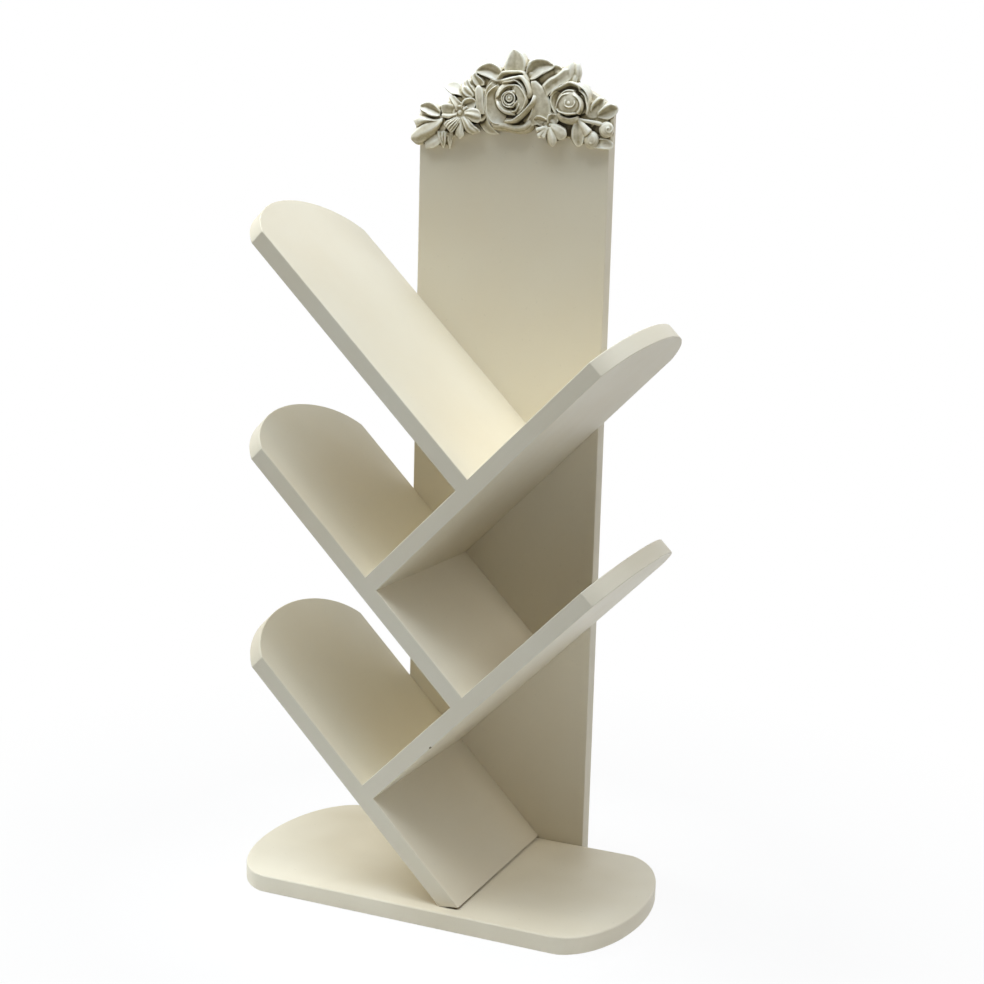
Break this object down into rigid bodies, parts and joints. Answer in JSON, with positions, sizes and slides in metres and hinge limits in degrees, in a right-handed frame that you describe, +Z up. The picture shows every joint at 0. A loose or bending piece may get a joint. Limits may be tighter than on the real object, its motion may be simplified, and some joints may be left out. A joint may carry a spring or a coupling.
{
  "type": "book rack",
  "caption": "Painted desktop book rack: slanting zigzag shelves on a tall back panel with a rose garland, over an oval-ended base board.",
  "frame": {"origin": "middle of the rack's footprint, on the ground", "axes": "+X to the right seen from the front, +Y to the back, +Z up; the panel stands at the back"},
  "size_m": [0.303, 0.1714, 0.604],
  "materials": {
    "painted_board": "satin cream paint",
    "cast_trim": "cast resin, painted cream with rubbed recesses",
    "beech": "bare beech",
    "steel": "zinc plated"
  },
  "bodies": {
    "root": {"base_board": "painted_board", "back_panel": "painted_board", "lower_left_shelf": "painted_board", "lower_right_shelf": "painted_board", "middle_left_shelf": "painted_board", "upper_right_shelf": "painted_board", "upper_left_shelf": "painted_board", "rose_garland": "cast_trim", "lower_right_dowels": "beech", "middle_left_dowels": "beech", "upper_right_dowels": "beech", "upper_left_dowels": "beech", "lower_left_screws": "steel", "lower_right_screws": "steel", "middle_left_screws": "steel", "upper_right_screws": "steel", "upper_left_screws": "steel", "base_screws": "steel", "foot_screws": "steel"}
  },
  "joints": []
}
